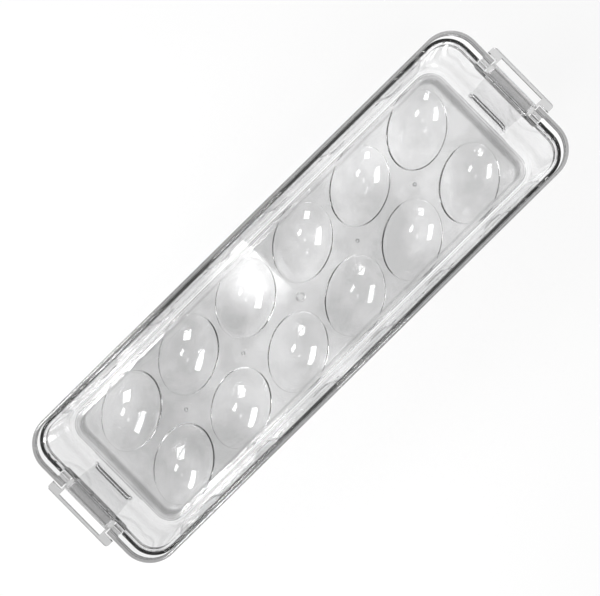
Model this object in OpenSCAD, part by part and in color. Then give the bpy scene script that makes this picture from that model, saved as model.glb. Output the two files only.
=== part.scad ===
// Clear egg keeper: a deep tray, a lift-out insert with oval egg wells, and a flat lid that is
// held by a swinging clip at each end. With the front clip let go, the lid flips up about the
// pins of the rear clip. +X runs along the tray to the rear clip, and +Z is up.

/* [Tray] */
// Length inside the tray at its top edge
tray_l = 345.2; // [300:0.2:400]
// Width inside the tray at its top edge
tray_w = 102.6; // [90:0.2:150]
// Height of the tray's top edge above the table
tray_h = 69.8; // [58:0.2:110]
// Radius of the tray's inside corners
tray_r = 15; // [13.5:0.5:20]
// Thickness of the tray's walls
wall_t = 1.8; // [1.5:0.1:2.2]
// Thickness of the tray's floor
floor_t = 1.8; // [1.4:0.1:3]
// How far each wall leans in between the top edge and the table
draft = 1; // [0.4:0.1:1.6]
// Radius of the rounded edge under the tray
foot_r = 2.8; // [2.2:0.1:4]
// Radius inside, where the walls meet the floor
floor_r = 0.5; // [0.4:0.1:0.8]

/* [Egg insert] */
// Length of a well's opening
well_l = 54; // [46:0.5:57]
// Width of a well's opening
well_w = 38.2; // [32:0.2:42]
// Depth of a well below the deck
well_depth = 10; // [7:0.5:14]
// Turn of each well from the tray's length
well_turn = 32; // [20:1:40]
// Distance between wells along the tray
well_pitch = 53.5; // [52.5:0.5:62]
// Distance between the rows of wells
row_pitch = 50; // [48:0.1:56]
// Thickness of the insert's sheet
sheet_t = 1.6; // [1.2:0.1:2]
// Height of the raised bead round the deck
bead_h = 1; // [0.5:0.1:1.6]
// Radius of the bead's crest
bead_r = 1.9; // [1.8:0.1:2.6]
// Radius of the hollow where the bead runs into the deck
bead_dip_r = 2.6; // [2:0.1:5]
// Gap at each end between the insert and the foot of the tray's wall
insert_end_gap = 0.5; // [0.4:0.1:2]
// Gap at each side between the insert and the foot of the tray's wall
insert_side_gap = 0.3; // [0.3:0.1:1]
// Width of the locating tongue at each end of the insert
tongue_w = 44; // [30:1:60]
// How far the tongue stands out from the insert
tongue_out = 0.5; // [0.2:0.1:0.6]
// Diameter of the ring at the centre of the deck
ring_d = 6.5; // [5:0.5:9]
// Diameter of the small round marks between the wells
mark_d = 2.8; // [2:0.2:4]

/* [Lid] */
// Thickness of the lid's panel
lid_t = 1.8; // [1.4:0.1:2.4]
// Thickness of the lid's skirt
skirt_t = 1.8; // [1.4:0.1:2]
// Height of the lid's skirt, with the panel
skirt_h = 5.9; // [4.5:0.1:6]
// Corner radius of the lid's outline
lid_r = 19.5; // [18:0.5:24]
// Gap between the tray's top edge and the lid
lid_gap = 0.4; // [0.3:0.05:0.5]
// Gap between the skirt and the long walls
skirt_side_gap = 0.4; // [0.4:0.1:1.5]
// Gap between the skirt and the end walls, where the clips hang
skirt_end_gap = 3.7; // [3.6:0.1:4.4]
// Thickness of the rib that locates the lid inside the walls
rib_t = 1.4; // [1:0.1:2]
// Depth of that rib below the panel
rib_h = 3.6; // [2.5:0.1:4]
// Gap between the rib and the long walls
rib_side_gap = 0.4; // [0.3:0.05:0.8]
// Gap between the rib and the end walls, so that it clears them as the lid flips
rib_end_gap = 0.8; // [0.8:0.05:1.2]

/* [Clips] */
// Diameter of a clip's barrel
barrel_d = 7; // [6:0.1:7]
// Length of a clip's barrel
barrel_l = 36.8; // [35:0.2:44]
// Distance from the end wall out to the axis of the pins
axis_out = 1.6; // [1.5:0.05:1.8]
// Depth of that axis below the tray's top edge
axis_drop = 2.3; // [2.1:0.05:2.5]
// Diameter of the pins
pin_d = 3; // [2.4:0.1:3.2]
// Length of each pin
pin_l = 6.2; // [5:0.1:7]
// Running clearance round a pin
pin_clearance = 0.05; // [0.03:0.01:0.08]
// Thickness of the leg
leg_t = 1.8; // [1.4:0.1:2]
// Width of the leg at the barrel
leg_top_w = 33.4; // [30:0.2:34.6]
// Width of the leg at its foot
leg_foot_w = 32.6; // [26:0.2:33]
// Height of the leg's foot above the table
leg_foot_z = 2; // [1:0.1:4]
// How far the hook reaches in from the leg
hook_in = 1.9; // [1.2:0.1:2]
// Height of the hook's catching face above the table
hook_z = 17; // [14:0.5:26]
// Height of the hook's slope below that face
hook_slope_h = 10.5; // [6:0.5:11]
// Height of the ledge that the hook catches under
ledge_h = 2.5; // [2:0.1:4]
// Thickness of the finger tab and its window's frame
tab_t = 1.8; // [1.4:0.1:2]
// Length of the window in the finger tab
window_l = 33.9; // [30:0.1:34.5]
// Width of the window in the finger tab
window_w = 5.45; // [4.6:0.05:8]
// Width of the bar outside the window
bar_w = 1.75; // [1.4:0.05:3]
// Width of the whole finger tab
tab_l = 50.6; // [46:0.2:60]

/* [Hidden] */
$fn = 64;

clear_tint = [0.93, 0.95, 0.96, 0.45];
overlap = 0.5; // how far pieces of one moulding run into each other
end_play = 0.5; // gap between a barrel's end and the lug beside it
lift_gap = 0.3; // gap between faces that rest close to each other

tray_out_l = tray_l + 2 * wall_t;
tray_out_w = tray_w + 2 * wall_t;
tray_out_r = tray_r + wall_t;

insert_l = tray_l - 2 * (draft + floor_r + insert_end_gap);
insert_w = tray_w - 2 * (draft + floor_r + insert_side_gap);
insert_r = tray_r - draft - floor_r - insert_end_gap;
insert_z = floor_t;
deck_z = floor_t + lift_gap + sheet_t + well_depth;
mark_h = 0.4;
bead_crest = [insert_r - bead_r, deck_z + bead_h - bead_r];
bead_dip = [bead_crest.x - sqrt(pow(bead_r + bead_dip_r, 2) - pow(bead_r + bead_dip_r - bead_h, 2)),
            deck_z + bead_dip_r];
tongue_z = bead_crest.y - 3;
deck_margin = 5; // flat deck kept between the wells and the insert's ends
side_margin = 2; // deck kept between the wells and the insert's long sides

// Each well is the bowl of an egg-shaped spheroid whose middle lies above the deck.
well_ball_r = (well_w * well_w / 4 + well_depth * well_depth) / (2 * well_depth);
well_ball_up = well_ball_r - well_depth;
well_ball_half_l = well_l * well_ball_r / well_w;
well_span_x = 2 * norm([well_l / 2 * cos(well_turn), well_w / 2 * sin(well_turn)]);
well_span_y = 2 * norm([well_l / 2 * sin(well_turn), well_w / 2 * cos(well_turn)]);
columns = 1 + floor((insert_l - 2 * deck_margin - well_span_x) / well_pitch);
rows = 1 + floor((insert_w - 2 * side_margin - well_span_y) / row_pitch);

lid_z = tray_h + lid_gap;
lid_top = lid_z + lid_t;
lid_l = tray_out_l + 2 * (skirt_end_gap + skirt_t);
lid_w = tray_out_w + 2 * (skirt_side_gap + skirt_t);
lid_edge_r = min(1.6, skirt_t - 0.2);
rib_l = tray_l - 2 * rib_end_gap;
rib_w = tray_w - 2 * rib_side_gap;
rib_r = tray_r - rib_side_gap;
lid_notch_w = barrel_l + 2 * end_play;
lid_notch_x = rib_l / 2 - rib_t - lift_gap;

axis_x = tray_out_l / 2 + axis_out;
axis_z = tray_h - axis_drop;
lug_w = pin_l + 0.1;
lug_r = 3;
lug_y = lid_notch_w / 2 + lug_w / 2;
wall_notch_w = lid_notch_w + 2 * lug_w + 1.2;
wall_notch_z = axis_z - barrel_d / 2 - end_play;

leg_x = axis_x + 0.1;
hook_w = leg_foot_w - 1;
hook_nose_h = 1.5;
ledge_w = hook_w - 2;
ledge_z = hook_z + lift_gap;
cheek_t = 3; // solid ends of the barrel, which carry the pins
window_x = axis_x + barrel_d / 2 + 0.5;
tab_end = window_x + window_w + bar_w;
tab_z = axis_z - 1.3;
// The tab's arms start outside the circle that the lid's edge sweeps as it flips.
lid_sweep_r = norm([lid_l / 2 - axis_x, lid_top - axis_z]);
arm_x = axis_x + lid_sweep_r + lift_gap;
arm_corner_r = min(2.2, (tab_end - arm_x) / 2);

// Carries a section round a rectangle with round corners. In the section, x is the distance
// out from the corner's centre and y is the height.
module carry_round(l, w, r) {
    for (turn = [0, 180]) {
        rotate(turn)
            translate([l / 2 - r, 0, 0])
                rotate([90, 0, 0])
                    linear_extrude(w - 2 * r, center = true)
                        children();
        rotate(turn + 90)
            translate([w / 2 - r, 0, 0])
                rotate([90, 0, 0])
                    linear_extrude(l - 2 * r, center = true)
                        children();
    }
    for (x = [-1, 1], y = [-1, 1])
        translate([x * (l / 2 - r), y * (w / 2 - r), 0])
            rotate(x > 0 ? (y > 0 ? 0 : 270) : (y > 0 ? 90 : 180))
                rotate_extrude(angle = 90)
                    children();
}

// Both ends alike: the child is drawn at the rear end and again, turned half round, at the front.
module both_ends() {
    children();
    rotate(180)
        children();
}

// How far a leaning wall stands in at a height.
function lean(z) = draft * (1 - z / tray_h);

// Section of the tray's wall and floor, with a round foot, a small inside radius and a round top.
module wall_section() {
    foot_x = tray_out_r - lean(foot_r) - foot_r;
    inner_x = tray_r - lean(floor_t + floor_r) - floor_r;
    top = tray_h - wall_t / 2;
    difference() {
        union() {
            polygon([[0, 0], [foot_x, 0], [foot_x + foot_r, foot_r], [tray_out_r, top], [0, top]]);
            translate([foot_x, foot_r])
                circle(foot_r);
            translate([tray_r + wall_t / 2, top])
                circle(wall_t / 2);
        }
        translate([-1, floor_t])
            square([inner_x + 1, tray_h]);
        translate([inner_x, floor_t + floor_r])
            circle(floor_r);
        polygon([[-1, floor_t + floor_r], [inner_x + floor_r, floor_t + floor_r],
                 [tray_r, top], [tray_r, tray_h + 1], [-1, tray_h + 1]]);
    }
}

// Ledge on the end wall that the clip's hook catches under.
module catch_ledge() {
    wall_x = tray_out_l / 2 - lean(ledge_z) - overlap;
    tip_x = leg_x - lift_gap;
    rotate([90, 0, 0])
        linear_extrude(ledge_w, center = true)
            polygon([[wall_x, ledge_z], [tip_x, ledge_z], [tip_x, ledge_z + 1],
                     [wall_x, ledge_z + ledge_h]]);
}

module tray() {
    color(clear_tint)
        difference() {
            union() {
                carry_round(tray_out_l, tray_out_w, tray_out_r)
                    wall_section();
                translate([0, 0, floor_t / 2])
                    cube([tray_out_l - 2 * tray_out_r, tray_out_w - 2 * tray_out_r, floor_t],
                         center = true);
                both_ends()
                    catch_ledge();
            }
            both_ends()
                translate([tray_l / 2 - draft - 1, -wall_notch_w / 2, wall_notch_z])
                    cube([wall_t + draft + 2, wall_notch_w, tray_h]);
        }
}

// All that lies under the insert's top surface, at a depth below that surface: the flat deck,
// the hollow beside the bead, the bead's crest and the skirt.
module under_top(depth, x_start, z_start) {
    meet = bead_crest + (bead_dip - bead_crest) * (bead_r - depth) / (bead_r + bead_dip_r);
    translate([x_start, z_start])
        square([bead_dip.x - x_start, deck_z - depth - z_start]);
    translate([bead_crest.x, z_start])
        square([bead_r - depth, bead_crest.y - z_start]);
    translate(bead_crest)
        circle(bead_r - depth);
    difference() {
        polygon([[bead_dip.x, z_start], [bead_dip.x, deck_z - depth], meet, bead_crest,
                 [bead_crest.x, z_start]]);
        translate(bead_dip)
            circle(bead_dip_r + depth);
    }
}

// Section of the insert's edge: the deck, the raised bead and a skirt that stands on the floor.
module insert_section() {
    difference() {
        under_top(0, 0, insert_z);
        under_top(sheet_t, -1, insert_z - 1);
    }
}

// Egg-shaped spheroid of a well, grown by a thickness.
module well_ball(grow) {
    ball_r = well_ball_r + grow;
    translate([0, 0, deck_z + well_ball_up])
        rotate(well_turn)
            scale([(well_ball_half_l + grow) / ball_r, 1, 1])
                sphere(ball_r);
}

module at_wells() {
    for (column = [0 : columns - 1], row = [0 : rows - 1])
        translate([(column - (columns - 1) / 2) * well_pitch, (row - (rows - 1) / 2) * row_pitch, 0])
            children();
}

// Low ring and round marks on the deck's centre line, left by the moulding.
module deck_marks() {
    translate([0, 0, deck_z - overlap])
        difference() {
            cylinder(h = overlap + mark_h, d = ring_d);
            translate([0, 0, overlap])
                cylinder(h = 2 * mark_h, d = ring_d - 2);
        }
    for (place = [-floor((columns - 1) / 2) : floor((columns - 1) / 2)])
        if (place != 0)
            translate([place * well_pitch, 0, deck_z - overlap])
                cylinder(h = overlap + mark_h, d = mark_d);
}

module egg_insert() {
    color(clear_tint)
        difference() {
            union() {
                carry_round(insert_l, insert_w, insert_r)
                    insert_section();
                translate([0, 0, deck_z - sheet_t / 2])
                    cube([insert_l - 2 * insert_r, insert_w - 2 * insert_r, sheet_t], center = true);
                both_ends()
                    translate([insert_l / 2 - overlap, -tongue_w / 2, tongue_z])
                        cube([tongue_out + overlap, tongue_w, 3]);
                at_wells()
                    intersection() {
                        well_ball(sheet_t);
                        translate([-well_l, -well_l, deck_z - well_depth - 2 * sheet_t])
                            cube([2 * well_l, 2 * well_l, well_depth + 1.5 * sheet_t]);
                    }
                deck_marks();
            }
            at_wells()
                well_ball(0);
        }
}

// Section of the lid's edge: the panel, a rounded corner and the skirt.
module lid_section() {
    skirt_z = lid_top - skirt_h;
    difference() {
        union() {
            translate([0, skirt_z])
                square([lid_r, skirt_h - lid_edge_r]);
            translate([0, skirt_z])
                square([lid_r - lid_edge_r, skirt_h]);
            translate([lid_r - lid_edge_r, lid_top - lid_edge_r])
                circle(lid_edge_r);
        }
        translate([-1, skirt_z - 1])
            square([lid_r - skirt_t + 1, skirt_h - lid_t + 1]);
    }
}

// Lug under the lid that a clip's pin turns in.
module pin_lug() {
    rotate([90, 0, 0])
        linear_extrude(lug_w, center = true)
            union() {
                translate([axis_x, axis_z])
                    circle(lug_r);
                translate([axis_x - lug_r, axis_z])
                    square([2 * lug_r, lid_z + overlap - axis_z]);
            }
}

module lid() {
    color(clear_tint)
        difference() {
            union() {
                carry_round(lid_l, lid_w, lid_r)
                    lid_section();
                translate([0, 0, lid_z + lid_t / 2])
                    cube([lid_l - 2 * lid_r, lid_w - 2 * lid_r, lid_t], center = true);
                carry_round(rib_l, rib_w, rib_r)
                    translate([rib_r - rib_t, lid_z - rib_h])
                        square([rib_t, rib_h + overlap]);
                both_ends()
                    for (side = [-1, 1])
                        translate([0, side * lug_y, 0])
                            pin_lug();
            }
            both_ends() {
                translate([lid_notch_x, -lid_notch_w / 2, lid_z - 2 * skirt_h])
                    cube([lid_l, lid_notch_w, 4 * skirt_h]);
                translate([axis_x, 0, axis_z])
                    rotate([90, 0, 0])
                        cylinder(h = wall_notch_w + 2, r = pin_d / 2 + pin_clearance, center = true);
            }
        }
}

// Leg of a clip, wider at the barrel, with a round foot edge.
module leg() {
    foot_z = leg_foot_z + leg_t / 2;
    top_z = axis_z - (barrel_d - tab_t) / 2;
    translate([leg_x, 0, 0])
        rotate([90, 0, 90])
            linear_extrude(leg_t)
                polygon([[-leg_foot_w / 2, foot_z], [leg_foot_w / 2, foot_z],
                         [leg_top_w / 2, top_z], [-leg_top_w / 2, top_z]]);
    translate([leg_x + leg_t / 2, 0, foot_z])
        rotate([90, 0, 0])
            cylinder(h = leg_foot_w, d = leg_t, center = true);
}

// Hook that catches under the tray's ledge, with a sloping nose that leads it in.
module hook() {
    rotate([90, 0, 0])
        linear_extrude(hook_w, center = true)
            polygon([[leg_x + overlap, hook_z - hook_slope_h], [leg_x + overlap, hook_z],
                     [leg_x - hook_in, hook_z], [leg_x - hook_in, hook_z - hook_nose_h]]);
}

// Barrel between the pins: a C that opens towards the tray's wall, with a solid cheek at each end.
module barrel() {
    hollow_l = barrel_l - 2 * cheek_t;
    hollow_r = barrel_d / 2 - tab_t;
    difference() {
        cylinder(h = barrel_l, d = barrel_d, center = true);
        cylinder(h = hollow_l, r = hollow_r, center = true);
        translate([-barrel_d, -hollow_r, -hollow_l / 2])
            cube([barrel_d, 2 * hollow_r, hollow_l]);
    }
}

// Finger tab with its window. The arms pass round the lid's edge from the barrel's ends.
module finger_tab() {
    root_x = axis_x + (barrel_d - tab_t) / 2;
    translate([0, 0, tab_z])
        linear_extrude(tab_t)
            difference() {
                union() {
                    translate([root_x, -barrel_l / 2])
                        square([arm_x - root_x + overlap, barrel_l]);
                    translate([arm_x, -tab_l / 2])
                        square([tab_end - arm_x - arm_corner_r, tab_l]);
                    translate([arm_x, -tab_l / 2 + arm_corner_r])
                        square([tab_end - arm_x, tab_l - 2 * arm_corner_r]);
                    for (side = [-1, 1])
                        translate([tab_end - arm_corner_r, side * (tab_l / 2 - arm_corner_r)])
                            circle(arm_corner_r);
                }
                translate([window_x, -window_l / 2])
                    square([window_w, window_l]);
            }
}

module clip() {
    translate([axis_x, 0, axis_z])
        rotate([90, 0, 0]) {
            barrel();
            for (side = [-1, 1])
                translate([0, 0, side * (barrel_l + pin_l - cheek_t) / 2])
                    cylinder(h = pin_l + cheek_t, d = pin_d, center = true);
        }
    leg();
    hook();
    finger_tab();
}

module clip_rear() {
    color(clear_tint)
        clip();
}

module clip_front() {
    color(clear_tint)
        rotate(180)
            clip();
}

tray();
egg_insert();
lid();
clip_front();
clip_rear();
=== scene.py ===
"""Looks of the clear egg keeper: its tray and egg insert as rounded surfaces, the materials of
the clear mouldings, the lights and the camera.

Lengths on the keeper are millimetres until put_mesh or MM turns them into metres. The places and
sizes of the stage's panels are metres.
"""
import math

import bmesh
import bpy
import numpy as np
from mathutils import Matrix, Vector


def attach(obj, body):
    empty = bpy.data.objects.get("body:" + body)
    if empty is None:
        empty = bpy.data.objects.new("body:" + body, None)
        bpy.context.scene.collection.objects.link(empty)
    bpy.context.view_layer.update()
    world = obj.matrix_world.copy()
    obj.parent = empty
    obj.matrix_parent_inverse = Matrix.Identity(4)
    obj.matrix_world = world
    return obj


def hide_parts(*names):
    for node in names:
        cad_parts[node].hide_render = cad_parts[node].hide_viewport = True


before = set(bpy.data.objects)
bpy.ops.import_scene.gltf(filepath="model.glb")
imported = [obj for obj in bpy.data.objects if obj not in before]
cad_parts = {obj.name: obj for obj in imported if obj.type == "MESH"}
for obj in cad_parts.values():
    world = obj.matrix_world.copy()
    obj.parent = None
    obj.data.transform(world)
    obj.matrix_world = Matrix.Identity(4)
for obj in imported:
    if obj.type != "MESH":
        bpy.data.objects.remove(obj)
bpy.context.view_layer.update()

MM = 0.001

# Sizes that the clear pieces share with the solids
deck_z = 13.7
sheet_t = 1.6
well_l = 54
well_w = 38.2
well_depth = 10
well_turn = math.radians(32)
well_pitch = 53.5
row_pitch = 50
half_columns = 3
insert_half_l = 170.6
insert_half_w = 49.5
insert_corner_r = 13
bead_h = 1
bead_r = 1.9
tongue_half_w = 22
tongue_out = 0.5
tongue_low_z = 9.8
tongue_high_z = 12.8
ring_r = 3.25
mark_r = 1.4
mark_h = 0.4

tray_half_l = 174.4
tray_half_w = 53.1
tray_corner_r = 16.8
tray_h = 69.8
wall_t = 1.8
floor_t = 1.8
draft = 1
notch_half_w = 25.8
notch_z = 63.5
ledge_half_w = 14.8
ledge_out = 2.15
ledge_low_z = 17.3
ledge_lip = 1
ledge_top_z = 19.8
lid_half_l = 179.9
lid_half_w = 55.3
lid_corner_r = 19.5

# How the tray's foot and the insert's surface are rounded
tray_foot_r = 6
insert_foot_z = 6.3
rim_round = 0.8
slope_end_w = 6.5
slope_side_w = 3.4
slope_corner_r = 9
foot_round = 0.35

# Steps of the grids
long_steps = 24
short_steps = 22
corner_steps = 8
bowl_rings = 9
rim_rings = 8
deck_rings = 10
end_points = 13
side_points = 37
bend_points = 15
wall_heights = [30, 45, 62]
outside_low_z = 11
inside_low_z = 18
small = 0.01

crest_half_l = insert_half_l - bead_r
crest_half_w = insert_half_w - bead_r
crest_corner_r = insert_corner_r - bead_r
crest_centre_z = deck_z + bead_h - bead_r

ball_r = (well_w ** 2 / 4 + well_depth ** 2) / (2 * well_depth)
ball_half_l = well_l * ball_r / well_w
ball_z = deck_z + ball_r - well_depth


def put_mesh(name, points, faces, body):
    """Welds the points, turns every face outwards and puts the mesh on a body."""
    mesh = bpy.data.meshes.new(name)
    mesh.from_pydata(points * MM, [], faces)
    work = bmesh.new()
    work.from_mesh(mesh)
    bmesh.ops.remove_doubles(work, verts=work.verts, dist=1e-6)
    bmesh.ops.dissolve_degenerate(work, edges=work.edges, dist=1e-7)
    bmesh.ops.recalc_face_normals(work, faces=work.faces)
    work.to_mesh(mesh)
    work.free()
    mesh.shade_smooth()
    piece = bpy.data.objects.new(name, mesh)
    bpy.context.scene.collection.objects.link(piece)
    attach(piece, body)
    return piece


def grid_faces(rows, columns, first=0):
    """Quads of a grid whose points lie row by row."""
    corner = first + np.arange(rows - 1)[:, None] * columns + np.arange(columns - 1)[None, :]
    corner = corner.ravel()
    return np.stack([corner, corner + 1, corner + columns + 1, corner + columns], axis=1)


def rounded_distance(x, y, half_l, half_w, radius):
    """Distance out from a rectangle with round corners, negative inside it."""
    qx = np.abs(x) - (half_l - radius)
    qy = np.abs(y) - (half_w - radius)
    outside = np.hypot(np.maximum(qx, 0), np.maximum(qy, 0))
    return outside + np.minimum(np.maximum(qx, qy), 0) - radius


def ease(t):
    """Smooth step from 0 to 1: 3t^2 - 2t^3."""
    t = np.clip(t, 0, 1)
    return t * t * (3 - 2 * t)


def bead_and_deck(x, y):
    """Height of the deck and its bead: the bead falls by a smooth step from its crest line to a
    second rounded rectangle inside it, by the share of the way between the two lines."""
    inside = -rounded_distance(x, y, crest_half_l, crest_half_w, crest_corner_r)
    beyond = rounded_distance(x, y, crest_half_l - slope_end_w, crest_half_w - slope_side_w,
                              slope_corner_r)
    way = np.maximum(inside, 0) / np.maximum(inside + np.maximum(beyond, 0), 1e-6)
    return deck_z + bead_h * (1 - ease(way))


def bowl(x, y, centre_x, centre_y):
    """Height of a well's bowl: the lower half of a spheroid turned about its own centre."""
    dx, dy = x - centre_x, y - centre_y
    along = (dx * math.cos(well_turn) + dy * math.sin(well_turn)) / ball_half_l
    across = (dy * math.cos(well_turn) - dx * math.sin(well_turn)) / ball_r
    return ball_z - ball_r * np.sqrt(np.maximum(1 - along ** 2 - across ** 2, 0.01))


def insert_height(x, y, centre_x, centre_y):
    """Height of the insert's top: the lower of deck and bowl, with the rim between them rounded
    by a smooth minimum."""
    deck = bead_and_deck(x, y)
    well = bowl(x, y, centre_x, centre_y)
    blend = np.maximum(rim_round - np.abs(deck - well), 0) / rim_round
    return np.minimum(deck, well) - blend ** 2 * rim_round / 4


def insert_points(x, y, centre_x, centre_y):
    """Points of the insert's top and, a sheet's thickness in along the normal, of its underside."""
    step = 0.02
    top = np.stack([x, y, insert_height(x, y, centre_x, centre_y)], axis=-1)
    slope_x = (insert_height(x + step, y, centre_x, centre_y)
               - insert_height(x - step, y, centre_x, centre_y)) / (2 * step)
    slope_y = (insert_height(x, y + step, centre_x, centre_y)
               - insert_height(x, y - step, centre_x, centre_y)) / (2 * step)
    normal = np.stack([-slope_x, -slope_y, np.ones_like(slope_x)], axis=-1)
    normal /= np.linalg.norm(normal, axis=-1, keepdims=True)
    return top, top - sheet_t * normal


def run(start, end, steps):
    """Points along a straight line, without its last one."""
    t = np.arange(steps)[:, None] / steps
    return np.array(start) * (1 - t) + np.array(end) * t


def cell_outline(column):
    """Outline of one well's share of the insert in the first quadrant, and how many of its points
    come before and on the crest line. The last column's share ends in the insert's round corner."""
    near = column * well_pitch
    if column < half_columns - 1:
        far = near + well_pitch
        before = [run((near, 0), (far, 0), long_steps), run((far, 0), (far, crest_half_w), short_steps)]
        crest = [run((far, crest_half_w), (near, crest_half_w), long_steps)]
    else:
        far = crest_half_l
        turn = np.arange(corner_steps)[:, None] / corner_steps * math.pi / 2
        bend = np.hstack([far - crest_corner_r + crest_corner_r * np.cos(turn),
                          crest_half_w - crest_corner_r + crest_corner_r * np.sin(turn)])
        edge = 0.15
        before = [run((near, 0), (far, 0), long_steps)]
        crest = [run((far, 0), (far, tongue_half_w - edge), short_steps // 2),
                 run((far, tongue_half_w - edge), (far, tongue_half_w + edge), 1),
                 run((far, tongue_half_w + edge), (far, crest_half_w - crest_corner_r), short_steps // 2),
                 bend,
                 run((far - crest_corner_r, crest_half_w), (near, crest_half_w), long_steps)]
    after = [run((near, crest_half_w), (near, 0), short_steps)]
    start = sum(len(part) for part in before)
    return np.vstack(before + crest + after), start, start + sum(len(part) for part in crest)


def cell_rings(outline, centre_x, centre_y):
    """Rings from a well's centre out to its cell's outline, close together where the rim bends."""
    away = outline - np.array([centre_x, centre_y])
    reach = np.hypot(away[:, 0], away[:, 1])
    angle = np.arctan2(away[:, 1], away[:, 0])
    rim = 1 / np.hypot(np.cos(angle - well_turn) / (well_l / 2), np.sin(angle - well_turn) / (well_w / 2))
    near = rim - 1.4 * rim_round
    far = rim + np.minimum(1.4 * rim_round, 0.5 * (reach - rim))
    inner = np.linspace(0, 1, bowl_rings, endpoint=False)[:, None] * near
    middle = near + np.linspace(0, 1, rim_rings, endpoint=False)[:, None] * (far - near)
    outer = far + (1 - (1 - np.linspace(0, 1, deck_rings)) ** 1.5)[:, None] * (reach - far)
    ring = np.vstack([inner, middle, outer])
    return centre_x + ring * np.cos(angle), centre_y + ring * np.sin(angle)


def skirt_profile():
    """The insert's edge beyond the crest line, as distance out and height: the bead's outer
    quarter, the skirt, its rounded foot and the inside of the skirt up to the underside."""
    quarter = np.linspace(0, math.pi / 2, 7)
    inner_r = bead_r - sheet_t
    outer_bead = np.stack([bead_r * np.sin(quarter), crest_centre_z + bead_r * np.cos(quarter)], axis=1)
    step = 0.06
    heights = [tongue_high_z - 0.001, tongue_high_z - step, tongue_low_z + step, tongue_low_z - 0.001,
               (tongue_low_z + insert_foot_z) / 2]
    outer_side = np.array([[bead_r, height] for height in heights])
    turn = np.linspace(0, math.pi / 2, 4)
    outer_foot = np.stack([bead_r - foot_round + foot_round * np.cos(turn),
                           insert_foot_z + foot_round - foot_round * np.sin(turn)], axis=1)
    inner_foot = np.stack([inner_r + foot_round - foot_round * np.sin(turn),
                           insert_foot_z + foot_round - foot_round * np.cos(turn)], axis=1)
    inner_bead = np.stack([inner_r * np.sin(quarter[::-1]),
                           crest_centre_z + inner_r * np.cos(quarter[::-1])], axis=1)
    return np.vstack([outer_bead, outer_side, outer_foot, inner_foot, inner_bead])


def skirt_points(crest):
    """The skirt's profile carried along a stretch of the crest line, with the tongue standing out."""
    step = 0.01
    x, y = crest[:, 0], crest[:, 1]
    sizes = (crest_half_l, crest_half_w, crest_corner_r)
    out = np.stack([rounded_distance(x + step, y, *sizes) - rounded_distance(x - step, y, *sizes),
                    rounded_distance(x, y + step, *sizes) - rounded_distance(x, y - step, *sizes)], axis=1)
    out /= np.linalg.norm(out, axis=1, keepdims=True)
    profile = skirt_profile()
    reach = np.tile(profile[:, 0], (len(crest), 1))
    height = np.tile(profile[:, 1], (len(crest), 1))
    on_tongue = (np.abs(y) < tongue_half_w)[:, None] & (np.abs(x) > crest_half_l - 0.01)[:, None]
    stands_out = (height < tongue_high_z - 0.01) & (height > tongue_low_z) & (reach >= bead_r - 1e-6)
    reach = reach + tongue_out * (on_tongue & stands_out)
    return np.stack([x[:, None] + out[:, :1] * reach, y[:, None] + out[:, 1:] * reach, height], axis=-1)


def egg_sheet():
    """The insert: one closed sheet made of twelve cells of rings and the skirt round them."""
    points, faces, count = [], [], 0

    def add_grid(grid):
        nonlocal count
        rows, columns = grid.shape[:2]
        points.append(grid.reshape(-1, 3))
        faces.append(grid_faces(rows, columns, count))
        count += rows * columns

    for column in range(half_columns):
        quadrant, start, stop = cell_outline(column)
        for side_x in (1, -1):
            for side_y in (1, -1):
                outline = quadrant * np.array([side_x, side_y])
                centre_x = side_x * (column + 0.5) * well_pitch
                centre_y = side_y * row_pitch / 2
                closed = np.vstack([outline, outline[:1]])
                x, y = cell_rings(closed, centre_x, centre_y)
                top, under = insert_points(x, y, centre_x, centre_y)
                add_grid(top)
                add_grid(under)
                skirt = skirt_points(closed[start:stop + 1])
                skirt[:, 0] = top[-1, start:stop + 1]
                skirt[:, -1] = under[-1, start:stop + 1]
                add_grid(skirt)
    return put_mesh("egg_sheet", np.vstack(points), np.vstack(faces), "egg_insert")


def lean(height):
    """How far a wall stands in at a height: nothing at the top edge, the draft at the table."""
    return draft * (1 - height / tray_h)


def tray_path():
    """The rectangle of the tray's corner centres with its outward directions, once round. The end
    sides have points close together where the notch and the ledge start."""
    half_l, half_w = tray_half_l - tray_corner_r, tray_half_w - tray_corner_r
    edge = 0.05
    stops = np.array([notch_half_w - edge, notch_half_w + edge, ledge_half_w - edge, ledge_half_w + edge])
    end_y = np.unique(np.concatenate([np.linspace(-half_w, half_w, end_points), stops, -stops]))
    side_x = np.linspace(half_l, -half_l, side_points)
    turn = np.linspace(0, math.pi / 2, bend_points)
    base = np.vstack([np.stack([np.full_like(end_y, half_l), end_y], axis=1),
                      np.tile([half_l, half_w], (len(turn), 1)),
                      np.stack([side_x, np.full_like(side_x, half_w)], axis=1),
                      np.tile([-half_l, half_w], (len(turn), 1))])
    away = np.vstack([np.tile([1.0, 0.0], (len(end_y), 1)),
                      np.stack([np.cos(turn), np.sin(turn)], axis=1),
                      np.tile([0.0, 1.0], (len(side_x), 1)),
                      np.stack([-np.sin(turn), np.cos(turn)], axis=1)])
    return np.vstack([base, -base, base[:1]]), np.vstack([away, -away, away[:1]])


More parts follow.
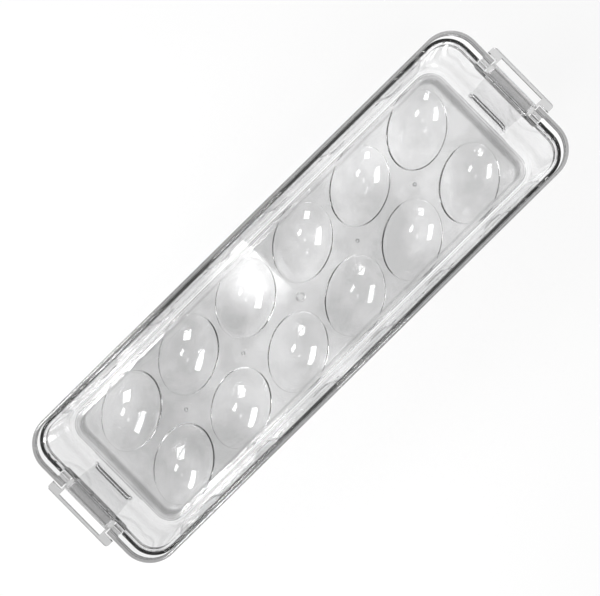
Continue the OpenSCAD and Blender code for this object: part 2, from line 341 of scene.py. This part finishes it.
def tray_profile():
    """Section of the tray from the middle of its underside out, up the wall, over the round top
    and down to the middle of its floor: spread, distance out from the corner centre and height."""
    quarter = np.linspace(0, math.pi / 2, 10)
    inside_r = tray_foot_r - wall_t
    corner = tray_corner_r - tray_foot_r
    under = [[0, 0, 0], [1, 0, 0], [1, corner - 1, 0]]
    foot = np.stack([0 * quarter + 1, corner + tray_foot_r * np.sin(quarter),
                     tray_foot_r * (1 - np.cos(quarter))], axis=1)
    heights = [outside_low_z, ledge_low_z - small, ledge_low_z + small, ledge_low_z + ledge_lip,
               ledge_top_z, *wall_heights]
    outside = [[1, tray_corner_r, height] for height in heights]
    half_turn = np.linspace(0, math.pi, 11)
    top = np.stack([0 * half_turn + 1,
                    tray_corner_r - wall_t / 2 + wall_t / 2 * np.cos(half_turn),
                    tray_h - wall_t / 2 + wall_t / 2 * np.sin(half_turn)], axis=1)
    heights = [*wall_heights[::-1], inside_low_z]
    inside = [[1, tray_corner_r - wall_t, height] for height in heights]
    bend = np.stack([0 * quarter + 1, corner + inside_r * np.cos(quarter),
                     floor_t + inside_r * (1 - np.sin(quarter))], axis=1)
    floor_top = [[1, corner - 1, floor_t], [1, 0, floor_t], [0, 0, floor_t]]
    return np.vstack([under, foot, outside, top, inside, bend, floor_top])


def tray_shell():
    """The tray: its section carried round the path. Above the ledge the heights are drawn down in
    the notches, and the ledge stands out of the wall between its two ends."""
    base, away = tray_path()
    spread, reach, height = tray_profile().T
    at_end = np.isclose(np.abs(away[:, 0]), 1)[:, None]
    beside = np.abs(base[:, 1])[:, None]
    low = ledge_top_z
    top_here = np.where(at_end & (beside < notch_half_w), notch_z, tray_h)
    drawn = np.where(height > low, low + (height - low) * (top_here - low) / (tray_h - low), height)
    on_ledge = at_end & (beside < ledge_half_w)
    over_ledge = (height > ledge_low_z) & (height < ledge_low_z + ledge_lip + small)
    outer_face = over_ledge & np.isclose(reach, tray_corner_r)
    out = reach + ledge_out * (on_ledge & outer_face) - np.where(spread * reach > 1, lean(drawn), 0)
    grid = np.stack([base[:, :1] * spread + away[:, :1] * out, base[:, 1:] * spread + away[:, 1:] * out,
                     drawn + 0 * out], axis=-1)
    grid[:, spread == 0, :2] = 0
    return put_mesh("tray_shell", grid.reshape(-1, 3), grid_faces(*grid.shape[:2]), "tray")


def turned(name, profile, centre_x):
    """A small mark on the deck: a profile of radius and height turned about an upright axis."""
    angle = np.linspace(0, 2 * math.pi, 33)[:, None]
    radius, height = profile[:, 0][None, :], profile[:, 1][None, :]
    grid = np.stack([centre_x + radius * np.cos(angle), radius * np.sin(angle),
                     height + 0 * angle], axis=-1)
    return put_mesh(name, grid.reshape(-1, 3), grid_faces(*grid.shape[:2]), "egg_insert")


def deck_marks():
    """The ring at the middle and the round marks on the centre line, as low rounded profiles."""
    base = deck_z + small
    turn = np.linspace(0, math.pi, 9)
    half_band = 0.55
    arch = np.stack([ring_r - half_band - half_band * np.cos(turn), base + mark_h * np.sin(turn)], axis=1)
    pieces = [turned("gate_ring", np.vstack([arch, arch[:1]]), 0)]
    quarter = np.linspace(math.pi / 2, 0, 7)
    dome = np.stack([mark_r * np.cos(quarter), base + mark_h * np.sin(quarter)], axis=1)
    closed = np.vstack([dome, [[0, base]]])
    for place in (-2, -1, 1, 2):
        side = "front" if place < 0 else "rear"
        pieces.append(turned(f"deck_mark_{side}_{abs(place)}", closed, place * well_pitch))
    return pieces


def add_node(tree, kind, **inputs):
    """A shader node with its named inputs set; _ stands for a space in a name."""
    node = tree.nodes.new(kind)
    for name, value in inputs.items():
        node.inputs[name.replace("_", " ")].default_value = value
    return node


def moulded_group():
    """Cloudy tint, haze and slow ripples that a clear moulding has, from Object coordinates."""
    tree = bpy.data.node_groups.new("moulded_clear", "ShaderNodeTree")
    for name, kind in (("Clear", "NodeSocketColor"), ("Cloudy", "NodeSocketColor"),
                       ("Cloud size", "NodeSocketFloat"), ("Polish", "NodeSocketFloat"),
                       ("Haze", "NodeSocketFloat")):
        tree.interface.new_socket(name, in_out="INPUT", socket_type=kind)
    for name, kind in (("Color", "NodeSocketColor"), ("Roughness", "NodeSocketFloat"),
                       ("Height", "NodeSocketFloat")):
        tree.interface.new_socket(name, in_out="OUTPUT", socket_type=kind)
    given = tree.nodes.new("NodeGroupInput")
    result = tree.nodes.new("NodeGroupOutput")
    place = tree.nodes.new("ShaderNodeTexCoord")
    cloud = add_node(tree, "ShaderNodeTexNoise", Detail=4.0, Roughness=0.55)
    speckle = add_node(tree, "ShaderNodeTexNoise", Scale=900.0, Detail=2.0)
    ripple = add_node(tree, "ShaderNodeTexNoise", Scale=38.0, Detail=1.5)
    for noise in (cloud, speckle, ripple):
        tree.links.new(place.outputs["Object"], noise.inputs["Vector"])
    tree.links.new(given.outputs["Cloud size"], cloud.inputs["Scale"])
    spread = add_node(tree, "ShaderNodeMapRange")
    spread.inputs["From Min"].default_value = 0.35
    spread.inputs["From Max"].default_value = 0.65
    tree.links.new(cloud.outputs["Fac"], spread.inputs["Value"])
    tint = tree.nodes.new("ShaderNodeMix")
    tint.data_type = "RGBA"
    tree.links.new(spread.outputs["Result"], tint.inputs["Factor"])
    tree.links.new(given.outputs["Clear"], tint.inputs["A"])
    tree.links.new(given.outputs["Cloudy"], tint.inputs["B"])
    tree.links.new(tint.outputs["Result"], result.inputs["Color"])
    haze = tree.nodes.new("ShaderNodeMix")
    tree.links.new(speckle.outputs["Fac"], haze.inputs["Factor"])
    tree.links.new(given.outputs["Polish"], haze.inputs["A"])
    tree.links.new(given.outputs["Haze"], haze.inputs["B"])
    tree.links.new(haze.outputs["Result"], result.inputs["Roughness"])
    tree.links.new(ripple.outputs["Fac"], result.inputs["Height"])
    return tree


def clear_material(name, group, clear, cloudy, cloud_size, polish, haze, ripple_mm):
    """Clear plastic: glass-like, with a share of the clear and the cloudy grey, the shared haze
    between the polish and its roughest, and slow ripples."""
    material = bpy.data.materials.new(name)
    material.use_nodes = True
    tree = material.node_tree
    shader = tree.nodes["Principled BSDF"]
    shader.inputs["IOR"].default_value = 1.59
    shader.inputs["Metallic"].default_value = 0
    shader.inputs["Transmission Weight"].default_value = 1
    moulded = tree.nodes.new("ShaderNodeGroup")
    moulded.node_tree = group
    moulded.inputs["Clear"].default_value = (clear, clear, clear * 1.002, 1)
    moulded.inputs["Cloudy"].default_value = (cloudy, cloudy, cloudy * 1.002, 1)
    moulded.inputs["Cloud size"].default_value = cloud_size
    moulded.inputs["Polish"].default_value = polish
    moulded.inputs["Haze"].default_value = haze
    bump = add_node(tree, "ShaderNodeBump", Strength=1.0, Distance=ripple_mm * MM)
    tree.links.new(moulded.outputs["Height"], bump.inputs["Height"])
    tree.links.new(moulded.outputs["Color"], shader.inputs["Base Color"])
    tree.links.new(moulded.outputs["Roughness"], shader.inputs["Roughness"])
    tree.links.new(bump.outputs["Normal"], shader.inputs["Normal"])
    return material


def outline_group():
    """Distance out from a rectangle with round corners, in metres, from Object coordinates."""
    tree = bpy.data.node_groups.new("outline_distance", "ShaderNodeTree")
    tree.interface.new_socket("Corner centre", in_out="INPUT", socket_type="NodeSocketVector")
    tree.interface.new_socket("Corner radius", in_out="INPUT", socket_type="NodeSocketFloat")
    tree.interface.new_socket("Distance", in_out="OUTPUT", socket_type="NodeSocketFloat")
    given = tree.nodes.new("NodeGroupInput")
    result = tree.nodes.new("NodeGroupOutput")
    last = tree.nodes.new("ShaderNodeTexCoord").outputs["Object"]
    for operation in ("ABSOLUTE", "SUBTRACT", "MAXIMUM", "LENGTH"):
        step = tree.nodes.new("ShaderNodeVectorMath")
        step.operation = operation
        tree.links.new(last, step.inputs[0])
        if operation == "SUBTRACT":
            tree.links.new(given.outputs["Corner centre"], step.inputs[1])
        last = step.outputs["Value" if operation == "LENGTH" else "Vector"]
    distance = tree.nodes.new("ShaderNodeMath")
    distance.operation = "SUBTRACT"
    tree.links.new(last, distance.inputs[0])
    tree.links.new(given.outputs["Corner radius"], distance.inputs[1])
    tree.links.new(distance.outputs[0], result.inputs["Distance"])
    return tree


def outline_distance(tree, group, half_l, half_w, radius):
    """Places the shared group for one rectangle with round corners and returns its distance."""
    node = tree.nodes.new("ShaderNodeGroup")
    node.node_tree = group
    node.inputs["Corner centre"].default_value = ((half_l - radius) * MM, (half_w - radius) * MM, 1)
    node.inputs["Corner radius"].default_value = radius * MM
    return node.outputs["Distance"]


def smooth_step(tree, value, low, high):
    """0 at low, 1 at high, and a smooth step between."""
    step = tree.nodes.new("ShaderNodeMapRange")
    step.interpolation_type = "SMOOTHSTEP"
    step.inputs["From Min"].default_value = low
    step.inputs["From Max"].default_value = high
    tree.links.new(value, step.inputs["Value"])
    return step.outputs["Result"]


def times(tree, first, second):
    """Product of two values."""
    node = tree.nodes.new("ShaderNodeMath")
    node.operation = "MULTIPLY"
    tree.links.new(first, node.inputs[0])
    tree.links.new(second, node.inputs[1])
    return node.outputs[0]


def object_part(tree, axis):
    """One of the Object coordinates, in metres."""
    parts = tree.nodes.new("ShaderNodeSeparateXYZ")
    tree.links.new(tree.nodes.new("ShaderNodeTexCoord").outputs["Object"], parts.inputs[0])
    return parts.outputs[axis]


def painted_slope_shade(tree, outlines):
    """Mask of painted shade: 1 on the insert's slope, between the edge of its deck and the bead."""
    deck_edge = outline_distance(tree, outlines, crest_half_l - slope_end_w,
                                 crest_half_w - slope_side_w, slope_corner_r)
    crest = outline_distance(tree, outlines, crest_half_l, crest_half_w, crest_corner_r)
    return times(tree, smooth_step(tree, deck_edge, -0.5 * MM, 2 * MM),
                 smooth_step(tree, crest, -1 * MM, -3 * MM))


def painted_rim_shade(tree, outlines):
    """Mask of painted shade: 1 on the lid's rim, standing in for the light lost where it runs down through
    the skirt's height.
    """
    edge = outline_distance(tree, outlines, lid_half_l, lid_half_w, lid_corner_r)
    return smooth_step(tree, edge, -3.2 * MM, -1.8 * MM)


def painted_grip_shade(tree):
    """Mask of painted shade: 1 on a clip's barrel and finger tab, above its leg."""
    return smooth_step(tree, object_part(tree, "Z"), 61.5 * MM, 63.5 * MM)


def paint_shade(material, mask, tint):
    """Paints shade: multiplies a material's colour by a grey tint where a mask is 1."""
    tree = material.node_tree
    colour = tree.nodes["Principled BSDF"].inputs["Base Color"]
    mix = tree.nodes.new("ShaderNodeMix")
    mix.data_type = "RGBA"
    mix.blend_type = "MULTIPLY"
    mix.inputs["B"].default_value = (tint, tint, tint, 1)
    tree.links.new(mask, mix.inputs["Factor"])
    tree.links.new(colour.links[0].from_socket, mix.inputs["A"])
    tree.links.new(mix.outputs["Result"], colour)


def dress(piece, material):
    """Gives a piece one material in all its slots."""
    if not piece.material_slots:
        piece.data.materials.append(material)
    for slot in piece.material_slots:
        slot.material = material


def seen_directly(tree):
    """1 for rays that come from the camera straight, by a mirror or through clear plastic."""
    path = tree.nodes.new("ShaderNodeLightPath")
    direct = tree.nodes.new("ShaderNodeMath")
    direct.operation = "MAXIMUM"
    tree.links.new(path.outputs["Is Camera Ray"], direct.inputs[0])
    tree.links.new(path.outputs["Is Glossy Ray"], direct.inputs[1])
    return direct.outputs[0]


def soft_world():
    """A dim room, darker overhead, and plain white where the camera looks past the floor."""
    world = bpy.data.worlds.new("soft_white")
    bpy.context.scene.world = world
    world.use_nodes = True
    tree = world.node_tree
    background = tree.nodes["Background"]
    place = tree.nodes.new("ShaderNodeTexCoord")
    parts = tree.nodes.new("ShaderNodeSeparateXYZ")
    tree.links.new(place.outputs["Generated"], parts.inputs[0])
    ramp = tree.nodes.new("ShaderNodeValToRGB")
    low, high = ramp.color_ramp.elements
    low.position, low.color = 0.05, (0.45, 0.45, 0.45, 1)
    high.position, high.color = 0.6, (0.2, 0.2, 0.2, 1)
    tree.links.new(parts.outputs["Z"], ramp.inputs["Fac"])
    path = tree.nodes.new("ShaderNodeLightPath")
    mix = tree.nodes.new("ShaderNodeMix")
    mix.data_type = "RGBA"
    mix.inputs["B"].default_value = (1, 1, 1, 1)
    tree.links.new(path.outputs["Is Camera Ray"], mix.inputs["Factor"])
    tree.links.new(ramp.outputs["Color"], mix.inputs["A"])
    tree.links.new(mix.outputs["Result"], background.inputs["Color"])


def sheet_of_stage(name, corners, material):
    """A flat four-cornered sheet of the stage."""
    mesh = bpy.data.meshes.new(name)
    mesh.from_pydata(corners, [], [(0, 1, 2, 3)])
    mesh.materials.append(material)
    sheet = bpy.data.objects.new(name, mesh)
    bpy.context.scene.collection.objects.link(sheet)
    return sheet


def lit_table(tree, outlines):
    """Brightness of the floor: full to the camera. Seen in clear plastic it dims with the distance
    from the keeper, so that edges show dark lines, and is brighter towards the rear end."""
    fade = tree.nodes.new("ShaderNodeMapRange")
    fade.inputs["From Max"].default_value = 0.4
    fade.inputs["To Min"].default_value = 1
    fade.inputs["To Max"].default_value = 0.45
    tree.links.new(outline_distance(tree, outlines, 200, 60, 0), fade.inputs["Value"])
    lean_in = tree.nodes.new("ShaderNodeMapRange")
    lean_in.inputs["From Min"].default_value = -0.12
    lean_in.inputs["From Max"].default_value = 0.12
    lean_in.inputs["To Min"].default_value = 0.95
    lean_in.inputs["To Max"].default_value = 1.22
    tree.links.new(object_part(tree, "X"), lean_in.inputs["Value"])
    path = tree.nodes.new("ShaderNodeLightPath")
    level = tree.nodes.new("ShaderNodeMix")
    level.inputs["B"].default_value = 1
    tree.links.new(path.outputs["Is Camera Ray"], level.inputs["Factor"])
    tree.links.new(times(tree, fade.outputs["Result"], lean_in.outputs["Result"]), level.inputs["A"])
    return level.outputs["Result"]


def floor(outlines):
    """Pale floor that takes the object's shadow, and shows near white to the camera."""
    material = bpy.data.materials.new("floor_white")
    material.use_nodes = True
    tree = material.node_tree
    tree.nodes.clear()
    matt = add_node(tree, "ShaderNodeBsdfDiffuse", Color=(0.85, 0.85, 0.85, 1))
    bright = add_node(tree, "ShaderNodeEmission", Color=(1, 1, 1, 1))
    tree.links.new(lit_table(tree, outlines), bright.inputs["Strength"])
    share = tree.nodes.new("ShaderNodeMath")
    share.operation = "MULTIPLY"
    share.inputs[1].default_value = 0.9
    tree.links.new(seen_directly(tree), share.inputs[0])
    mix = tree.nodes.new("ShaderNodeMixShader")
    tree.links.new(share.outputs[0], mix.inputs[0])
    tree.links.new(matt.outputs[0], mix.inputs[1])
    tree.links.new(bright.outputs[0], mix.inputs[2])
    tree.links.new(mix.outputs[0], tree.nodes.new("ShaderNodeOutputMaterial").inputs["Surface"])
    half, level = 3.0, -0.0002
    corners = [(-half, -half, level), (half, -half, level), (half, half, level), (-half, half, level)]
    return sheet_of_stage("floor", corners, material)


def softbox(name, place, size, mirrored, on_matt, level=False):
    """A white panel aimed at the object, or level. It shows at one strength in mirrored light and
    at a lower one on matt things, and not to the camera."""
    material = bpy.data.materials.new(name)
    material.use_nodes = True
    tree = material.node_tree
    tree.nodes.clear()
    light = add_node(tree, "ShaderNodeEmission", Color=(1, 1, 1, 1))
    path = tree.nodes.new("ShaderNodeLightPath")
    strength = tree.nodes.new("ShaderNodeMix")
    strength.inputs["A"].default_value = mirrored
    strength.inputs["B"].default_value = on_matt
    tree.links.new(path.outputs["Is Diffuse Ray"], strength.inputs["Factor"])
    tree.links.new(strength.outputs["Result"], light.inputs["Strength"])
    tree.links.new(light.outputs[0], tree.nodes.new("ShaderNodeOutputMaterial").inputs["Surface"])
    centre = Vector(place)
    aim = (Vector((0, 0, 0.01)) - centre).to_track_quat("Z", "Y").to_matrix()
    if level:
        aim = Matrix.Identity(3)
    half_u, half_v = size[0] / 2, size[1] / 2
    corners = [centre + aim @ Vector((u, v, 0))
               for u, v in ((-half_u, -half_v), (half_u, -half_v), (half_u, half_v), (-half_u, half_v))]
    panel = sheet_of_stage(name, corners, material)
    panel.visible_camera = False
    panel.visible_shadow = False
    return panel


def overhead_veil():
    """The large softbox beside the camera. The lid mirrors it as a white veil that ends sharply on
    one side and fades out on the others."""
    panel = softbox("softbox_overhead", (-0.06, 0.065, 0.82), (0.12, 0.13), 3.4, 0.5, level=True)
    tree = panel.data.materials[0].node_tree
    strength = next(node for node in tree.nodes if node.type == "EMISSION").inputs["Strength"]
    fade = times(tree, smooth_step(tree, object_part(tree, "X"), -0.115, -0.030),
                 smooth_step(tree, object_part(tree, "Y"), 0.005, 0.065))
    tree.links.new(times(tree, strength.links[0].from_socket, fade), strength)


def camera():
    """Looks straight down, turned so that the keeper lies from lower left to upper right."""
    sensor_w = 36
    picture_w = 600
    mm_per_pixel = 0.59
    rise = 440
    lid_top = 72
    aim_x, aim_y = -0.7, -0.3
    turned_by = math.radians(44.57)
    lens = bpy.data.cameras.new("camera")
    lens.sensor_width = sensor_w
    lens.lens = sensor_w * rise / (picture_w * mm_per_pixel)
    holder = bpy.data.objects.new("camera", lens)
    bpy.context.scene.collection.objects.link(holder)
    holder.location = (aim_x * MM, aim_y * MM, (lid_top + rise) * MM)
    holder.rotation_euler = (0, 0, -turned_by)
    bpy.context.scene.camera = holder


def main():
    """Builds the pieces, gives each its material, and sets the stage."""
    group = moulded_group()
    outlines = outline_group()
    insert_clear = clear_material("insert_clear", group, clear=1.0, cloudy=0.70, cloud_size=20,
                                  polish=0.015, haze=0.05, ripple_mm=0.2)
    # Painted shade: the insert's slope between its deck and bead is darkened to a 0.6 tint.
    paint_shade(insert_clear, painted_slope_shade(insert_clear.node_tree, outlines), 0.6)
    tray_clear = clear_material("tray_clear", group, clear=1.0, cloudy=0.96, cloud_size=9,
                                polish=0.01, haze=0.03, ripple_mm=0.04)
    lid_clear = clear_material("lid_clear", group, clear=0.99, cloudy=0.96, cloud_size=8,
                               polish=0.005, haze=0.02, ripple_mm=0.08)
    # Painted shade: the lid's rim is darkened to a 0.42 tint.
    paint_shade(lid_clear, painted_rim_shade(lid_clear.node_tree, outlines), 0.42)
    clip_clear = clear_material("clip_clear", group, clear=0.95, cloudy=0.90, cloud_size=60,
                                polish=0.02, haze=0.08, ripple_mm=0.1)
    # Painted shade: the clips' barrels and finger tabs are darkened to a 0.7 tint.
    paint_shade(clip_clear, painted_grip_shade(clip_clear.node_tree), 0.7)
    sheet = egg_sheet()
    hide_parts("egg_insert")
    for piece in [sheet, *deck_marks()]:
        dress(piece, insert_clear)
    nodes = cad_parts
    shell = tray_shell()
    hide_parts("tray")
    dress(shell, tray_clear)
    dress(nodes["lid"], lid_clear)
    dress(nodes["clip_front"], clip_clear)
    dress(nodes["clip_rear"], clip_clear)

    soft_world()
    floor(outlines)
    softbox("softbox_left", (-0.202, -0.176, 0.294), (0.13, 0.13), 18, 1.5)
    softbox("softbox_upper_left", (-0.224, 0.259, 0.312), (0.22, 0.15), 18, 1.5)
    softbox("softbox_lower", (0.025, -0.285, 0.82), (0.17, 0.13), 18, 1.5)
    overhead_veil()
    camera()

    scene = bpy.context.scene
    scene.view_settings.view_transform = "Standard"
    scene.cycles.max_bounces = 40
    scene.cycles.transmission_bounces = 40
    scene.cycles.glossy_bounces = 24


main()
